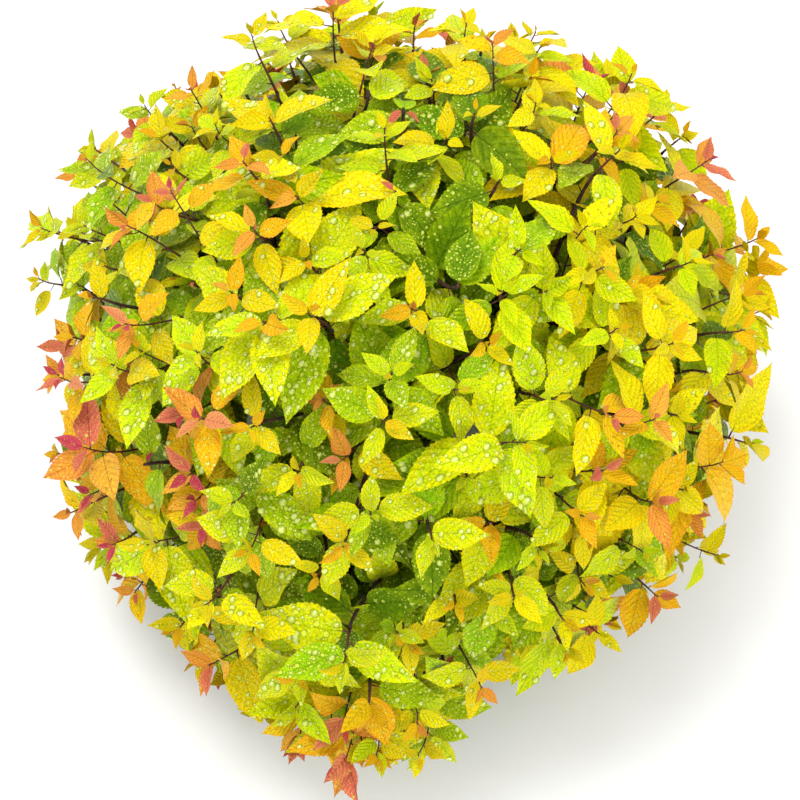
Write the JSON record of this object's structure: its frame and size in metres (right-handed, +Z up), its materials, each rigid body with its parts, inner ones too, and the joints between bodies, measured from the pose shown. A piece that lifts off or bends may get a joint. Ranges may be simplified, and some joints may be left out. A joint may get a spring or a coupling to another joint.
{
  "type": "spirea shrub",
  "caption": "Low domed spirea shrub in golden spring leaf: a clump of stems from one root crown, carrying leafy masses on boughs, with coppery red shoot tips.",
  "frame": {"origin": "centre of the flat cut under the root crown, at ground level", "axes": "+Z up; -Y towards the viewer of the main view, +X to that viewer's right"},
  "size_m": [0.4193, 0.4154, 0.3198],
  "materials": {
    "bark": "rough, finely fissured",
    "leaf_lime": "satin leaf",
    "leaf_yellow": "satin leaf",
    "leaf_gold": "satin leaf",
    "leaf_deep": "satin leaf",
    "leaf_green": "satin leaf",
    "leaf_orange": "satin leaf",
    "leaf_coral": "satin leaf",
    "leaf_crimson": "satin leaf",
    "twig": "smooth reddish bark",
    "water": "clear drops"
  },
  "bodies": {
    "root": {"root_crown": "bark", "stem_middle": "bark", "stem_1": "bark", "stem_2": "bark", "stem_3": "bark", "stem_4": "bark", "stem_5": "bark", "stem_6": "bark", "stem_7": "bark", "stem_8": "bark", "bough_upper_1": "bark", "bough_upper_2": "bark", "bough_upper_3": "bark", "bough_upper_4": "bark", "bough_upper_5": "bark", "bough_skirt_1": "bark", "bough_skirt_2": "bark", "bough_skirt_3": "bark", "bough_skirt_4": "bark", "bough_skirt_5": "bark", "bough_skirt_6": "bark", "bough_skirt_7": "bark", "bough_skirt_8": "bark", "foliage_top_1": "leaf_yellow", "foliage_upper_1": "leaf_gold", "foliage_upper_2": "leaf_yellow", "foliage_upper_3": "leaf_lime", "foliage_upper_4": "leaf_lime", "foliage_upper_5": "leaf_yellow", "foliage_shoulder_1": "leaf_gold", "foliage_shoulder_2": "leaf_gold", "foliage_shoulder_3": "leaf_gold", "foliage_shoulder_4": "leaf_lime", "foliage_shoulder_5": "leaf_lime", "foliage_shoulder_6": "leaf_lime", "foliage_shoulder_7": "leaf_lime", "foliage_shoulder_8": "leaf_yellow", "foliage_skirt_1": "leaf_gold", "foliage_skirt_2": "leaf_gold", "foliage_skirt_3": "leaf_lime", "foliage_skirt_4": "leaf_lime", "foliage_skirt_5": "leaf_lime", "foliage_skirt_6": "leaf_lime", "foliage_skirt_7": "leaf_lime", "foliage_skirt_8": "leaf_yellow"}
  },
  "joints": []
}
